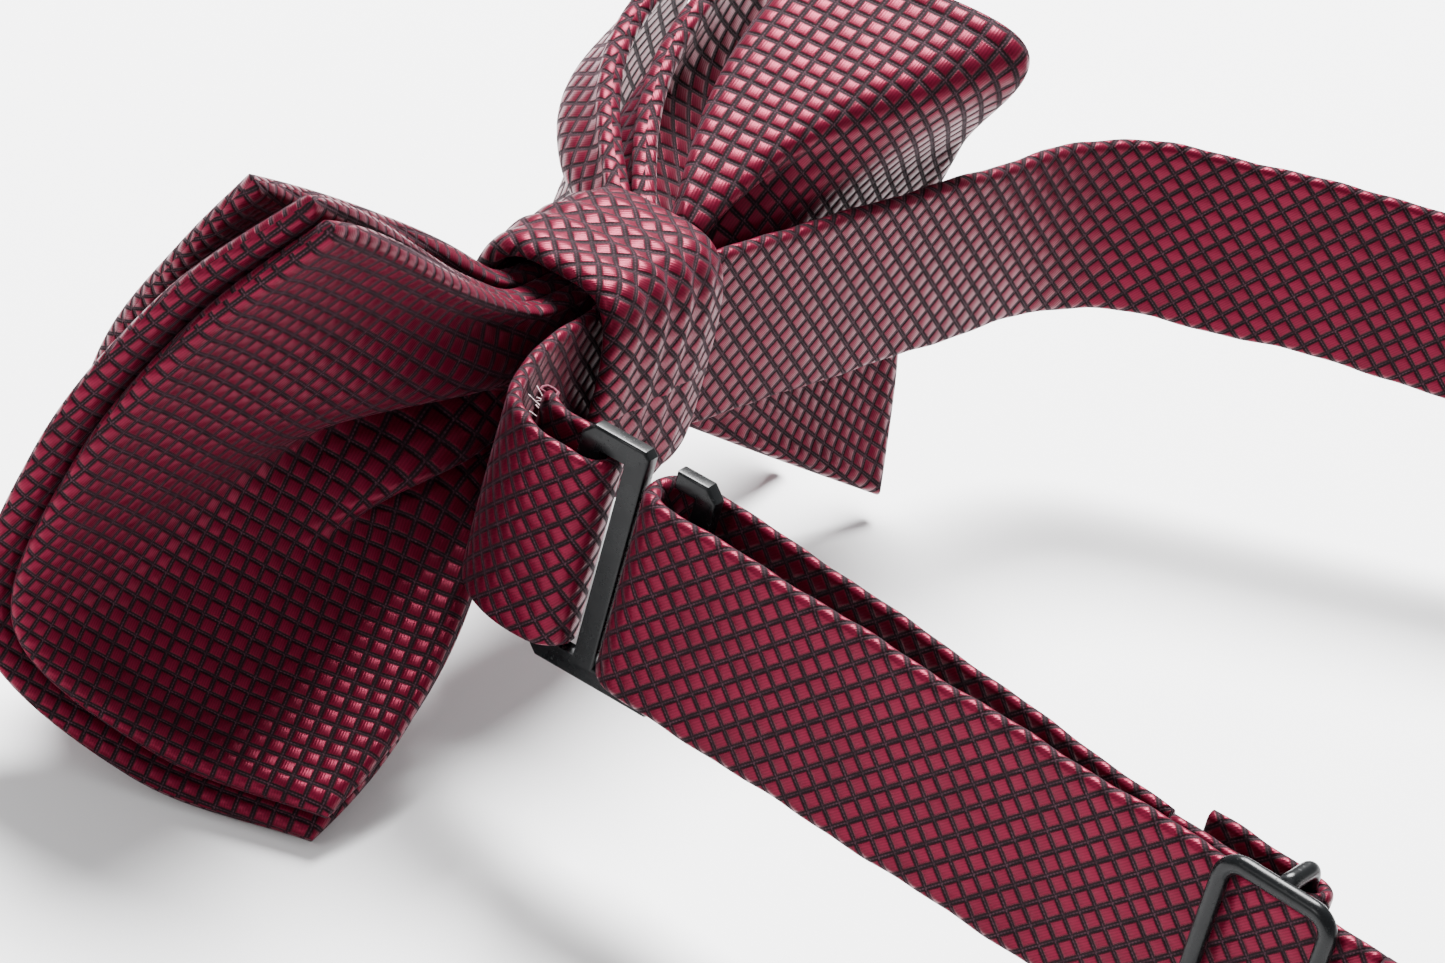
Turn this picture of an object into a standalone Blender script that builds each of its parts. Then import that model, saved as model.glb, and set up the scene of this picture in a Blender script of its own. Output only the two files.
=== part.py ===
"""Pre-tied bow tie with an adjustable neckband: an open-slot hook clasp joins the band's looped
end to a short tab at the knot, and a wire slider on the doubled strap sets the neck size.

Frame: metres, +Z up, bow along X, its front towards -Y and the wearer's neck towards +Y.
The origin is on the surface the tie stands on. It stands on the lower corners of its wings
and on the lower edge of the band's rear.
"""

from math import cos, pi, radians, sin, sqrt

import bmesh
import bpy
from mathutils import Vector

MM = 0.001

# cloth
GAP = 0.3
BAND_WIDTH = 20.0
BAND_THICK = 1.6
BAND_POCKET = 0.85
INTERLINING_THICK = 0.3
BAND_HEIGHT = 27.3  # height of the band's centre line at the clasp
LEAF_THICK = 1.9
LEAF_POCKET = 1.1
LEAF_INTERLINING = 0.3
LEAF_ROWS, LEAF_COLUMNS = 16, 16

# knot
KNOT_HALF = (9.6, 9.3, 13.6)  # half its width, depth and height, outside
KNOT_CENTRE = (0.4, 28.0)  # y, z
KNOT_WALL = 1.4
KNOT_POWER = 4.2  # how square the wrap's round is
BAND_KNOT_Y = 4.4  # where the band runs through the knot

# clasp, a flat frame in the YZ plane whose mid-plane is at CLASP_X
CLASP_X = 27.3
CLASP_THICK = 1.7
CLASP_SIDE = 1.8  # height of its top and bottom sides
CLASP_Z = (15.0, 39.7)
TAB_BAR_Y = (17.2, 19.2)
CENTRE_BAR_Y = (22.6, 24.5)
STRAP_BAR_Y = (29.7, 31.9)
HOOK_TIP_Y = 27.4  # the slot is open between the centre bar and the hook's tip
CLASP_CORNER = 1.2
CLASP_BEVEL = 0.3

# tab and strap loops round the clasp's bars: radii of their centre lines
TAB_LOOP_R = 2.5
STRAP_LOOP_R = 3.15
STRAP_LOOP_Y = CENTRE_BAR_Y[1] + 0.35 + BAND_THICK / 2 + STRAP_LOOP_R

# the doubled strap runs straight along STRAP_ANGLE, and the slider slides on it
STRAP_ANGLE = radians(86.0)
STRAP_FRONT_LENGTH = 77.0
SLIDER_AT = 67.0  # distance of its centre bar from the strap loop's centre
SLIDER_LENGTH = 12.5
SLIDER_HEIGHT = 24.6
SLIDER_WIRE_R = 0.85
END_LOOP_R = 1.75  # centre line of the sewn end round the slider's centre bar
END_THICK = 1.2
END_TAIL = 11.0

# neckband: plan points and height of its centre line, from the knot round to the slider
REAR_HEIGHT = BAND_WIDTH / 2 - 0.9
NECKBAND_ROUTE = (
    (-1.2, BAND_KNOT_Y, BAND_HEIGHT),
    (-11.0, 4.8, BAND_HEIGHT),
    (-32.0, 8.4, BAND_HEIGHT),
    (-54.0, 12.2, BAND_HEIGHT),
    (-67.0, 14.8, BAND_HEIGHT),
    (-75.0, 19.6, BAND_HEIGHT),
    (-81.5, 29.5, BAND_HEIGHT),
    (-90.0, 44.0, BAND_HEIGHT - 0.4),
    (-99.0, 62.0, BAND_HEIGHT - 3.0),
    (-104.5, 84.0, 18.6),
    (-102.0, 106.0, 12.9),
    (-90.0, 126.0, REAR_HEIGHT),
    (-69.0, 141.5, REAR_HEIGHT),
    (-41.0, 148.5, REAR_HEIGHT),
    (-12.0, 146.5, REAR_HEIGHT + 1.0),
    (11.0, 139.0, 15.6),
    (26.0, 128.0, 22.4),
    (33.8, 116.0, 26.4),
)

# the middle of the tie's box at its foot, measured from the knot's middle at table height;
# everything moves by its opposite at the end, so that it becomes the origin
BOX_MIDDLE = (-22.07, 61.32, -1.17)

WINE = (0.205, 0.012, 0.048)
LINING = (0.80, 0.78, 0.74)
THREAD = (0.10, 0.008, 0.025)
BLACK_METAL = (0.012, 0.013, 0.015)


def smooth(t):
    return t * t * (3 - 2 * t)


# ---------------------------------------------------------------- scene and materials


def material(name, colour, roughness, metallic=0.0):
    made = bpy.data.materials.new(name)
    made.use_nodes = True
    shader = made.node_tree.nodes["Principled BSDF"]
    shader.inputs["Base Color"].default_value = (*colour, 1.0)
    shader.inputs["Roughness"].default_value = roughness
    shader.inputs["Metallic"].default_value = metallic
    return made


def start_scene():
    for old in list(bpy.data.objects):
        bpy.data.objects.remove(old)
    groups = {}
    for name in ("bow_tie", "cutters"):
        groups[name] = bpy.data.collections.new(name)
        bpy.context.scene.collection.children.link(groups[name])
    return groups


GROUPS = start_scene()
MATERIALS = {
    "wine_cloth": material("wine_cloth", WINE, 0.45),
    "interlining": material("interlining", LINING, 0.9),
    "thread": material("thread", THREAD, 0.6),
    "black_metal": material("black_metal", BLACK_METAL, 0.22, 0.8),
}


def add_object(name, mesh, look, group="bow_tie"):
    piece = bpy.data.objects.new(name, mesh)
    GROUPS[group].objects.link(piece)
    if look:
        mesh.materials.append(MATERIALS[look])
    else:
        piece.hide_render = True
        piece.display_type = "WIRE"
    return piece


def thicken(piece, thickness):
    solidify = piece.modifiers.new("thickness", "SOLIDIFY")
    solidify.thickness = thickness * MM
    solidify.offset = 0.0
    solidify.use_even_offset = True


def cut(piece, cutter):
    boolean = piece.modifiers.new("cut", "BOOLEAN")
    boolean.operation = "DIFFERENCE"
    boolean.object = cutter


def sheet_object(name, point_at, columns, rows, thickness, look, group="bow_tie"):
    """A grid laid over point_at(s, t), s and t from 0 to 1, thickened both ways."""
    mesh = bpy.data.meshes.new(name)
    grid = bmesh.new()
    bmesh.ops.create_grid(grid, x_segments=columns, y_segments=rows, size=0.5)
    for vertex in grid.verts:
        vertex.co = Vector(point_at(vertex.co.x + 0.5, vertex.co.y + 0.5)) * MM
    grid.to_mesh(mesh)
    grid.free()
    piece = add_object(name, mesh, look, group)
    thicken(piece, thickness)
    return piece


# ---------------------------------------------------------------- strips that follow a route


def spline(points, step):
    """Points about step apart on a smooth curve through the given ones."""
    ends = [2 * points[0] - points[1], *points, 2 * points[-1] - points[-2]]
    path = [points[0]]
    for a, b, c, d in zip(ends, ends[1:], ends[2:], ends[3:]):
        count = max(1, round((c - b).length / step))
        for i in range(1, count + 1):
            t = i / count
            path.append(
                0.5 * (2 * b + (c - a) * t + (2 * a - 5 * b + 4 * c - d) * t**2
                       + (3 * b - a - 3 * c + d) * t**3)
            )
    return path


def arc(centre, radius, start, end, count, height):
    """Points on an arc in plan, its angles in degrees."""
    turns = [radians(start + (end - start) * i / count) for i in range(count + 1)]
    return [
        Vector((centre[0] + radius * cos(a), centre[1] + radius * sin(a), height)) for a in turns
    ]


def strip(name, path, width, thickness, look, group="bow_tie"):
    """A strip of even width standing on edge along the route."""
    last = len(path) - 1

    def point_at(s, t):
        return path[round(s * last)] + Vector((0, 0, (t - 0.5) * width))

    return sheet_object(name, point_at, last, 1, thickness, look, group)


def longer(path, extra):
    """The route with both ends run on by extra."""
    first = path[0] + (path[0] - path[1]).normalized() * extra
    last = path[-1] + (path[-1] - path[-2]).normalized() * extra
    return [first, *path[1:-1], last]


def shorter(path, less):
    return longer(path, -less)


def band_strip(name, path):
    """A cloth tube pressed flat, and the interlining inside it."""
    casing = strip(name, path, BAND_WIDTH, BAND_THICK, "wine_cloth")
    pocket = strip(
        name + "_pocket", longer(path, 1.0), BAND_WIDTH - 1.2, BAND_POCKET, None, "cutters"
    )
    cut(casing, pocket)
    strip(
        name + "_interlining", shorter(path, 0.4), BAND_WIDTH - 2.0, INTERLINING_THICK,
        "interlining",
    )
    return casing


# ---------------------------------------------------------------- the bow's leaves


def leaf_point(side, layer, s, t):
    """A point of a leaf's middle surface. s runs from the knot to the end, t from the lower
    edge to the upper one. The end follows the layer's six points, evenly spaced in t."""
    v = 2 * t - 1
    past_knot = s - 0.19
    flare = (past_knot + sqrt(past_knot**2 + 0.0025)) / 2 / 0.81
    end = along_end(WING_END[side][layer], t)
    x = 2.4 + 45.6 * s + (end[0] - 48.0) * flare**2
    knot_y = LAYER_KNOT_Y[layer]
    y = knot_y + (end[1] - knot_y) * sweep(side, layer, flare, v)
    knot_z = KNOT_CENTRE[1] + 0.4 + v * KNOT_END_HALF
    z = knot_z + (end[2] - knot_z) * opening(side, layer, flare, v)
    return (side * x, y, z)


def along_end(points, t):
    """A point of the smooth curve through evenly spaced ones."""
    last = len(points) - 1
    first = min(last - 1, max(0, int(t * last)))
    q = t * last - first
    b, c = Vector(points[first]), Vector(points[first + 1])
    a = Vector(points[first - 1]) if first > 0 else 2 * b - c
    d = Vector(points[first + 2]) if first + 2 <= last else 2 * c - b
    return 0.5 * (
        2 * b + (c - a) * q + (2 * a - 5 * b + 4 * c - d) * q**2 + (3 * b - a - 3 * c + d) * q**3
    )


def sweep(side, layer, flare, v):
    """How much of its way to the end's y a leaf has gone at this flare."""
    late = flare**1.3
    if layer == "front" or (side < 0 and layer == "middle"):
        return 1 - (1 - min(flare, 1.0)) ** 2.5
    if side < 0:
        return late
    low = smooth(min(1.0, max(0.0, (-v - 0.4) / 0.6)))
    early = 1 - (1 - min(flare, 1.0)) ** 2.3
    return late + (early - late) * low


def opening(side, layer, flare, v):
    """How much of its way to the end's height a leaf has gone at this flare."""
    straight = smooth(min(flare, 1.0)) * 0.4 + flare * 0.6
    if layer == "front" or side < 0:
        return flare**0.85
    low = smooth(min(1.0, max(0.0, (-v - 0.4) / 0.6)))
    return straight + (flare ** LOW_DROP[layer] - straight) * low


# x, y and z of six points down the end of each leaf, from its lower corner to its upper one
WING_END = {
    1: {
        "rear": (
            (48.0, 13.0, 2.4), (54.8, -2.2, 3.8), (59.7, -16.0, 11.3),
            (57.8, -14.7, 28.3), (53.4, -8.8, 44.2), (48.0, -0.7, 57.0),
        ),
        "middle": (
            (48.6, 12.4, -0.2), (55.6, -3.6, 0.8), (60.7, -18.9, 9.6),
            (59.4, -17.9, 28.7), (54.5, -11.7, 45.8), (48.0, -3.1, 58.3),
        ),
        "front": (
            (44.0, -17.0, 1.2), (45.0, -21.0, 13.0), (46.0, -22.5, 24.0),
            (47.0, -20.5, 35.0), (48.5, -14.5, 47.5), (48.0, -9.3, 57.2),
        ),
    },
    -1: {
        "rear": (
            (47.0, 12.8, 1.0), (51.5, 9.0, 10.0), (54.5, 5.0, 24.0),
            (53.5, 7.5, 38.5), (50.3, 11.6, 52.5), (46.5, -6.5, 53.0),
        ),
        "middle": (
            (46.0, 2.0, 0.2), (51.0, -4.0, 11.0), (55.0, -9.0, 22.0),
            (55.0, -11.0, 33.0), (51.5, -13.0, 42.5), (47.5, -14.0, 50.0),
        ),
        "front": (
            (44.0, -16.0, 0.2), (48.5, -21.5, 12.0), (51.0, -25.0, 22.0),
            (51.0, -26.0, 32.0), (49.0, -24.5, 40.5), (46.0, -22.5, 48.0),
        ),
    },
}
# each layer's y in the knot
LAYER_KNOT_Y = {"rear": 1.0, "middle": -1.4, "front": -3.75}
# how soon the left wing's two rear layers drop at their lower edge
LOW_DROP = {"rear": 0.8, "middle": 0.6}
KNOT_END_HALF = 8.6
SIDE_NAMES = {1: "left", -1: "right"}


def leaf(side, layer):
    name = f"{layer}_leaf_{SIDE_NAMES[side]}"

    def whole(s, t):
        return leaf_point(side, layer, s, t)

    def inside(margin, start, end):
        def point_at(s, t):
            return leaf_point(
                side, layer, start + (end - start) * s, margin + (1 - 2 * margin) * t
            )

        return point_at

    casing = sheet_object(name, whole, LEAF_COLUMNS, LEAF_ROWS, LEAF_THICK, "wine_cloth")
    pocket = sheet_object(
        name + "_pocket", inside(0.035, -0.03, 0.975), LEAF_COLUMNS, LEAF_ROWS, LEAF_POCKET,
        None, "cutters",
    )
    cut(casing, pocket)
    sheet_object(
        name + "_interlining", inside(0.06, 0.012, 0.955), LEAF_COLUMNS, LEAF_ROWS,
        LEAF_INTERLINING, "interlining",
    )


# ---------------------------------------------------------------- the knot


def knot_section(angle, inset=0.0):
    """A point of the knot's rounded-square section, in Y and Z."""
    power = 2 / KNOT_POWER
    c, s = cos(angle), sin(angle)
    y = abs(c) ** power * (1 if c >= 0 else -1) * (KNOT_HALF[1] - inset)
    z = abs(s) ** power * (1 if s >= 0 else -1) * (KNOT_HALF[2] - inset)
    return KNOT_CENTRE[0] + y, KNOT_CENTRE[1] + z


def knot_wrap():
    """The band of cloth round the middle of the bow, a ring whose edges turn in a little."""
    turns, across = 36, 6
    mesh = bpy.data.meshes.new("knot_wrap")
    ring = bmesh.new()
    bmesh.ops.create_cone(
        ring, cap_ends=False, segments=turns, radius1=1.0, radius2=1.0, depth=2.0
    )
    bmesh.ops.subdivide_edges(
        ring, edges=[e for e in ring.edges if abs(e.verts[0].co.z - e.verts[1].co.z) > 1],
        cuts=across - 1,
    )
    for vertex in ring.verts:
        from_middle = vertex.co.z
        angle = Vector((1, 0)).angle_signed(Vector((vertex.co.x, vertex.co.y)))
        y, z = knot_section(-angle, KNOT_WALL / 2 + 0.7 * from_middle**4)
        vertex.co = Vector((from_middle * (KNOT_HALF[0] - 0.1), y, z)) * MM
    bmesh.ops.recalc_face_normals(ring, faces=ring.faces)
    ring.to_mesh(mesh)
    ring.free()
    piece = add_object("knot_wrap", mesh, "wine_cloth")
    thicken(piece, KNOT_WALL)


def soft_block(name, centre, size, look, bevel):
    """A pressed block of folded cloth with rounded edges."""
    mesh = bpy.data.meshes.new(name)
    block = bmesh.new()
    bmesh.ops.create_cube(block, size=1.0)
    for vertex in block.verts:
        vertex.co = Vector([vertex.co[i] * size[i] * MM for i in range(3)])
    block.to_mesh(mesh)
    block.free()
    piece = add_object(name, mesh, look)
    piece.location = Vector(centre) * MM
    rounding = piece.modifiers.new("rounding", "BEVEL")
    rounding.width = bevel * MM
    rounding.segments = 2
    return piece


# ---------------------------------------------------------------- clasp and slider


def clasp_outline():
    """The clasp's outline in plan of its own face, as (y, z) corners: a frame with a window
    for the tab, and a window for the strap that is open at the top beside the centre bar."""
    low, high = CLASP_Z
    left, right = TAB_BAR_Y[0], STRAP_BAR_Y[1]
    c = CLASP_CORNER
    outer = [
        (left + c, low), (right - c, low), (right, low + c), (right, high - c),
        (right - c, high), (HOOK_TIP_Y, high), (HOOK_TIP_Y, high - CLASP_SIDE),
        (STRAP_BAR_Y[0], high - CLASP_SIDE), (STRAP_BAR_Y[0], low + CLASP_SIDE),
        (CENTRE_BAR_Y[1], low + CLASP_SIDE), (CENTRE_BAR_Y[1], high - c / 2),
        (CENTRE_BAR_Y[1] - c / 2, high), (left + c, high), (left, high - c), (left, low + c),
    ]
    window = [
        (TAB_BAR_Y[1], low + CLASP_SIDE), (TAB_BAR_Y[1], high - CLASP_SIDE),
        (CENTRE_BAR_Y[0], high - CLASP_SIDE), (CENTRE_BAR_Y[0], low + CLASP_SIDE),
    ]
    return outer, window


def clasp():
    curve = bpy.data.curves.new("clasp_outline", "CURVE")
    curve.dimensions = "2D"
    curve.fill_mode = "BOTH"
    curve.extrude = CLASP_THICK / 2 * MM
    middle = ((TAB_BAR_Y[0] + TAB_BAR_Y[1]) / 2, 0.0)
    for corners in clasp_outline():
        outline = curve.splines.new("POLY")
        outline.points.add(len(corners) - 1)
        for point, (y, z) in zip(outline.points, corners):
            point.co = ((y - middle[0]) * MM, (z - middle[1]) * MM, 0.0, 1.0)
        outline.use_cyclic_u = True
    flat = bpy.data.objects.new("clasp_flat", curve)
    bpy.context.scene.collection.objects.link(flat)
    mesh = bpy.data.meshes.new_from_object(flat.evaluated_get(bpy.context.evaluated_depsgraph_get()))
    bpy.data.objects.remove(flat)
    plate = bmesh.new()
    plate.from_mesh(mesh)
    bmesh.ops.remove_doubles(plate, verts=plate.verts, dist=0.01 * MM)
    for vertex in plate.verts:
        vertex.co = Vector((vertex.co.z, vertex.co.x, vertex.co.y))
    bmesh.ops.recalc_face_normals(plate, faces=plate.faces)
    plate.to_mesh(mesh)
    plate.free()
    piece = add_object("hook_clasp", mesh, "black_metal")
    piece.location = Vector((CLASP_X, middle[0], 0.0)) * MM
    bevel = piece.modifiers.new("edges", "BEVEL")
    bevel.width = CLASP_BEVEL * MM
    bevel.segments = 1
    bevel.limit_method = "ANGLE"


def wire(points, closed):
    """A round wire along the points, as a mesh with welded ends."""
    curve = bpy.data.curves.new("wire", "CURVE")
    curve.dimensions = "3D"
    curve.bevel_depth = SLIDER_WIRE_R * MM
    curve.bevel_resolution = 2
    curve.use_fill_caps = not closed
    run = curve.splines.new("POLY")
    run.points.add(len(points) - 1)
    for point, place in zip(run.points, points):
        point.co = (*(Vector(place) * MM), 1.0)
    run.use_cyclic_u = closed
    holder = bpy.data.objects.new("wire", curve)
    bpy.context.scene.collection.objects.link(holder)
    mesh = bpy.data.meshes.new_from_object(
        holder.evaluated_get(bpy.context.evaluated_depsgraph_get())
    )
    bpy.data.objects.remove(holder)
    tube = bmesh.new()
    tube.from_mesh(mesh)
    bmesh.ops.remove_doubles(tube, verts=tube.verts, dist=0.01 * MM)
    bmesh.ops.recalc_face_normals(tube, faces=tube.faces)
    tube.to_mesh(mesh)
    tube.free()
    return mesh


def rounded_loop(length, height, radius, steps):
    """A rectangle with round corners in the (along, z) plane."""
    points = []
    corners = ((1, 1, 0), (-1, 1, 90), (-1, -1, 180), (1, -1, 270))
    for along, up, start in corners:
        centre = (along * (length / 2 - radius), up * (height / 2 - radius))
        for i in range(steps + 1):
            a = radians(start + 90 * i / steps)
            points.append((centre[0] + radius * cos(a), centre[1] + radius * sin(a)))
    return points


def slider():
    """A wire frame whose centre bar stands back on two short legs, so that the strap lies
    between the side bars and the centre bar."""
    place, along, across = strap_frame(SLIDER_AT)
    side_plane = BAND_THICK / 2 + GAP + SLIDER_WIRE_R
    bar_plane = -CENTRE_BAR_BACK
    half = SLIDER_HEIGHT / 2 - SLIDER_WIRE_R

    def at(run, off, up):
        return along * run + across * off + Vector((0, 0, up))

    length = SLIDER_LENGTH - 2 * SLIDER_WIRE_R
    loop = [at(run, side_plane, up) for run, up in rounded_loop(length, 2 * half, 2.0, 4)]
    bar_route = [
        at(0, side_plane, half), at(0, bar_plane + 1.2, half), at(0, bar_plane + 0.35, half - 0.35),
        at(0, bar_plane, half - 1.2), at(0, bar_plane, -half + 1.2),
        at(0, bar_plane + 0.35, -half + 0.35), at(0, bar_plane + 1.2, -half),
        at(0, side_plane, -half),
    ]
    frame_wire = add_object("slider", wire(loop, True), "black_metal")
    bar = add_object("slider_centre_bar", wire(bar_route, False), None, "cutters")
    for piece in (frame_wire, bar):
        piece.location = place * MM
    joined = frame_wire.modifiers.new("centre_bar", "BOOLEAN")
    joined.operation = "UNION"
    joined.object = bar


# ---------------------------------------------------------------- tab, straps and stitches

CENTRE_BAR_BACK = BAND_THICK / 2 + GAP + END_LOOP_R + END_THICK / 2


def strap_frame(distance):
    """The front strap's centre line at this distance from the strap loop, with its direction
    and the level direction across it, away from the neck loop's middle."""
    along = Vector((cos(STRAP_ANGLE), sin(STRAP_ANGLE), 0.0))
    across = Vector((sin(STRAP_ANGLE), -cos(STRAP_ANGLE), 0.0))
    centre = Vector((CLASP_X, STRAP_LOOP_Y, BAND_HEIGHT))
    return centre + across * STRAP_LOOP_R + along * distance, along, across


def tab():
    """The short strip from the knot round the clasp's first bar and back onto itself."""
    bar = (CLASP_X, sum(TAB_BAR_Y) / 2)
    out = [
        Vector(p) for p in (
            (1.2, BAND_KNOT_Y, BAND_HEIGHT), (11.0, 4.7, BAND_HEIGHT),
            (20.0, 6.2, BAND_HEIGHT), (26.2, 8.8, BAND_HEIGHT),
            (CLASP_X + TAB_LOOP_R - 0.4, 13.2, BAND_HEIGHT),
        )
    ]
    round_bar = arc(bar, TAB_LOOP_R, 0, 180, 8, BAND_HEIGHT)
    back = [Vector((CLASP_X - TAB_LOOP_R - 0.1, 13.8, BAND_HEIGHT)), Vector((23.0, 10.4, BAND_HEIGHT))]
    path = spline(out + [round_bar[0]], 2.4) + round_bar[1:] + spline([round_bar[-1], *back], 2.4)[1:]
    piece = strip("clasp_tab", path, BAND_WIDTH, 1.3, "wine_cloth")
    for index, up in enumerate((-5.0, 5.0)):
        stitch = soft_block(
            f"tab_bartack_{index + 1}", (19.6, 8.6, BAND_HEIGHT + up), (1.6, 1.6, 6.0), "thread", 0.3
        )
        stitch.rotation_euler = (0, 0, radians(20))
    return piece


def strap():
    """The strap's loop and outer layer, its inner layer, and its sewn end at the slider."""
    centre = (CLASP_X, STRAP_LOOP_Y)
    lean = 86.0 - 90.0
    start = arc(centre, STRAP_LOOP_R, 180 + lean + 8, 360 + lean, 9, BAND_HEIGHT)
    end, _, _ = strap_frame(STRAP_FRONT_LENGTH)
    steps = 14
    straight = [start[-1].lerp(end, i / steps) for i in range(1, steps + 1)]
    band_strip("strap_outer", start + straight)

    place, along, across = strap_frame(SLIDER_AT)
    inner_start = arc(centre, STRAP_LOOP_R, 180 + lean - 4, 180 + lean - 5, 1, BAND_HEIGHT)[0]
    near_bar = place - across * (CENTRE_BAR_BACK - END_LOOP_R)
    inner_end = near_bar - along * (END_TAIL + 2.0)
    halfway = inner_start.lerp(inner_end, 0.5) - across * 0.6
    strip("strap_inner", spline([inner_start, halfway, inner_end], 6.0), BAND_WIDTH, 1.3, "wine_cloth")

    bar = place - across * CENTRE_BAR_BACK
    turn = [
        bar + across * (END_LOOP_R * cos(a)) + along * (END_LOOP_R * sin(a))
        for a in (pi * i / 8 for i in range(9))
    ]
    tail_end = bar - across * END_LOOP_R - along * END_TAIL
    near_end = near_bar - along * (END_TAIL + 1.6)
    run_in = [near_end.lerp(turn[0], i / 4) for i in range(4)]
    run_out = [turn[-1].lerp(tail_end, i / 4) for i in range(1, 5)]
    strip("strap_sewn_end", run_in + turn + run_out, BAND_WIDTH - 0.4, END_THICK, "wine_cloth")
    tack = soft_block(
        "strap_bartack", bar - along * (END_TAIL - 3.0), (2 * END_LOOP_R - END_THICK - 2 * GAP, 1.6, 16.0),
        "thread", 0.25,
    )
    tack.rotation_euler = (0, 0, STRAP_ANGLE - pi / 2)


def neckband():
    end, along, _ = strap_frame(STRAP_FRONT_LENGTH + 0.5)
    points = [Vector(p) for p in NECKBAND_ROUTE] + [end + along * 3.0, end]
    band_strip("neckband", spline(points, 7.0))


def build():
    for side in (1, -1):
        for layer in LAYER_KNOT_Y:
            leaf(side, layer)
    knot_wrap()
    soft_block("knot_padding", (0, -5.8, 28.2), (12.0, 1.4, 15.0), "interlining", 0.5)
    soft_block("knot_rear_seam", (0, 7.2, 28.2), (13.0, 1.0, 2.2), "thread", 0.3)
    soft_block("band_anchor_seam", (0, 2.8, 28.2), (9.0, 0.9, 15.0), "thread", 0.3)
    tab()
    clasp()
    strap()
    slider()
    neckband()
    for group in GROUPS.values():
        for piece in group.objects:
            piece.location -= Vector(BOX_MIDDLE) * MM


build()
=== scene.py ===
"""Looks of the ready-tied bow tie: wine jacquard cloth, glossy black clasp and wire slider.

The pieces are modelled in millimetres from the knot's middle at table height, with the bow along
X, its front towards -Y and the neck loop towards +Y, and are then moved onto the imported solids.
"""

from math import cos, pi, radians, sin, sqrt

import bmesh
import bpy
import numpy as np
from mathutils import Matrix, Vector


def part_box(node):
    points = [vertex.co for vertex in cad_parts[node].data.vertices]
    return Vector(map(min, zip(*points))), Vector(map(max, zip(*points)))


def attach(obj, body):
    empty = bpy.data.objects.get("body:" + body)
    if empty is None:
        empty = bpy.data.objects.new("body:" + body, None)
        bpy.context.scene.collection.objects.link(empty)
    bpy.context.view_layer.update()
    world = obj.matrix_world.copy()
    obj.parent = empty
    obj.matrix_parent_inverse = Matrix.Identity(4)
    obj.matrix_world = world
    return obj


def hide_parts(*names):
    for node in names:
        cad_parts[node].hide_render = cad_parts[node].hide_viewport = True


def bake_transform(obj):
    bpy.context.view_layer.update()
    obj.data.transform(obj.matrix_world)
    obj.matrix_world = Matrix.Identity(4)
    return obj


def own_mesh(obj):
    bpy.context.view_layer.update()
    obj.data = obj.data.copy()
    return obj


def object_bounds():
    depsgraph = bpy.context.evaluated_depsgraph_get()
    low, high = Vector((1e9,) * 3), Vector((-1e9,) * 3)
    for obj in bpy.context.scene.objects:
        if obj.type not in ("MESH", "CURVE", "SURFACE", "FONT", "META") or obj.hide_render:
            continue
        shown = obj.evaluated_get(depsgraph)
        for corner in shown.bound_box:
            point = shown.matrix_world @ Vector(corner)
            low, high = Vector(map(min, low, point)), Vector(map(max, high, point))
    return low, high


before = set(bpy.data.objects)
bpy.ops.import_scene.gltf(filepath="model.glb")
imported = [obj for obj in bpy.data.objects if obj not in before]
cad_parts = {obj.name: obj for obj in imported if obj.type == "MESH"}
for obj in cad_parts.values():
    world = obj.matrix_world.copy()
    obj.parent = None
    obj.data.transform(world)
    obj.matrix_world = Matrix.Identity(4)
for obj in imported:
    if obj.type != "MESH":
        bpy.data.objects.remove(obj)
CAD_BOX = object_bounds()

MM = 0.001
GAP = 0.3

# the knot's section centre (y, z), in the millimetres that the pieces are modelled in
KNOT_CENTRE = (0.4, 28.0)
KNOT_HALF = (9.3, 13.6)
KNOT_POWER = 4.2
WRAP_WIDTH = 19.3
WRAP_THICK = 1.5
_low, _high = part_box("knot_wrap")
ORIGIN = (_low + _high) / 2 - Vector((0.0, KNOT_CENTRE[0], KNOT_CENTRE[1])) * MM

# cloth
PITCH = 1.86  # side of the jacquard's squares
BAND_WIDTH = 20.0
BAND_THICK = 1.6
BAND_HEIGHT = 27.3
LEAF_THICK = 2.0
BAND_KNOT_Y = 4.4

# clasp
CLASP_X = 27.3
CLASP_THICK = 1.7
CLASP_SIDE = 1.8
CLASP_Z = (15.0, 39.7)
TAB_BAR_Y = (17.2, 19.2)
CENTRE_BAR_Y = (22.6, 24.5)
STRAP_BAR_Y = (29.7, 31.9)
HOOK_TIP_Y = 27.4
CLASP_CORNER = 1.2
CLASP_ROUND = 0.32

# loops, strap and slider
TAB_LOOP_R = 2.5
TAB_THICK = 1.3
STRAP_LOOP_R = 3.15
STRAP_LOOP_Y = CENTRE_BAR_Y[1] + 0.35 + BAND_THICK / 2 + STRAP_LOOP_R
STRAP_LEAN = 86.0
STRAP_FRONT_LENGTH = 77.0
SLIDER_AT = 67.0
SLIDER_LENGTH = 12.5
SLIDER_HEIGHT = 24.6
SLIDER_WIRE_R = 0.85
END_LOOP_R = 1.75
END_THICK = 1.2
END_TAIL = 11.0
CENTRE_BAR_BACK = BAND_THICK / 2 + GAP + END_LOOP_R + END_THICK / 2

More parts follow.
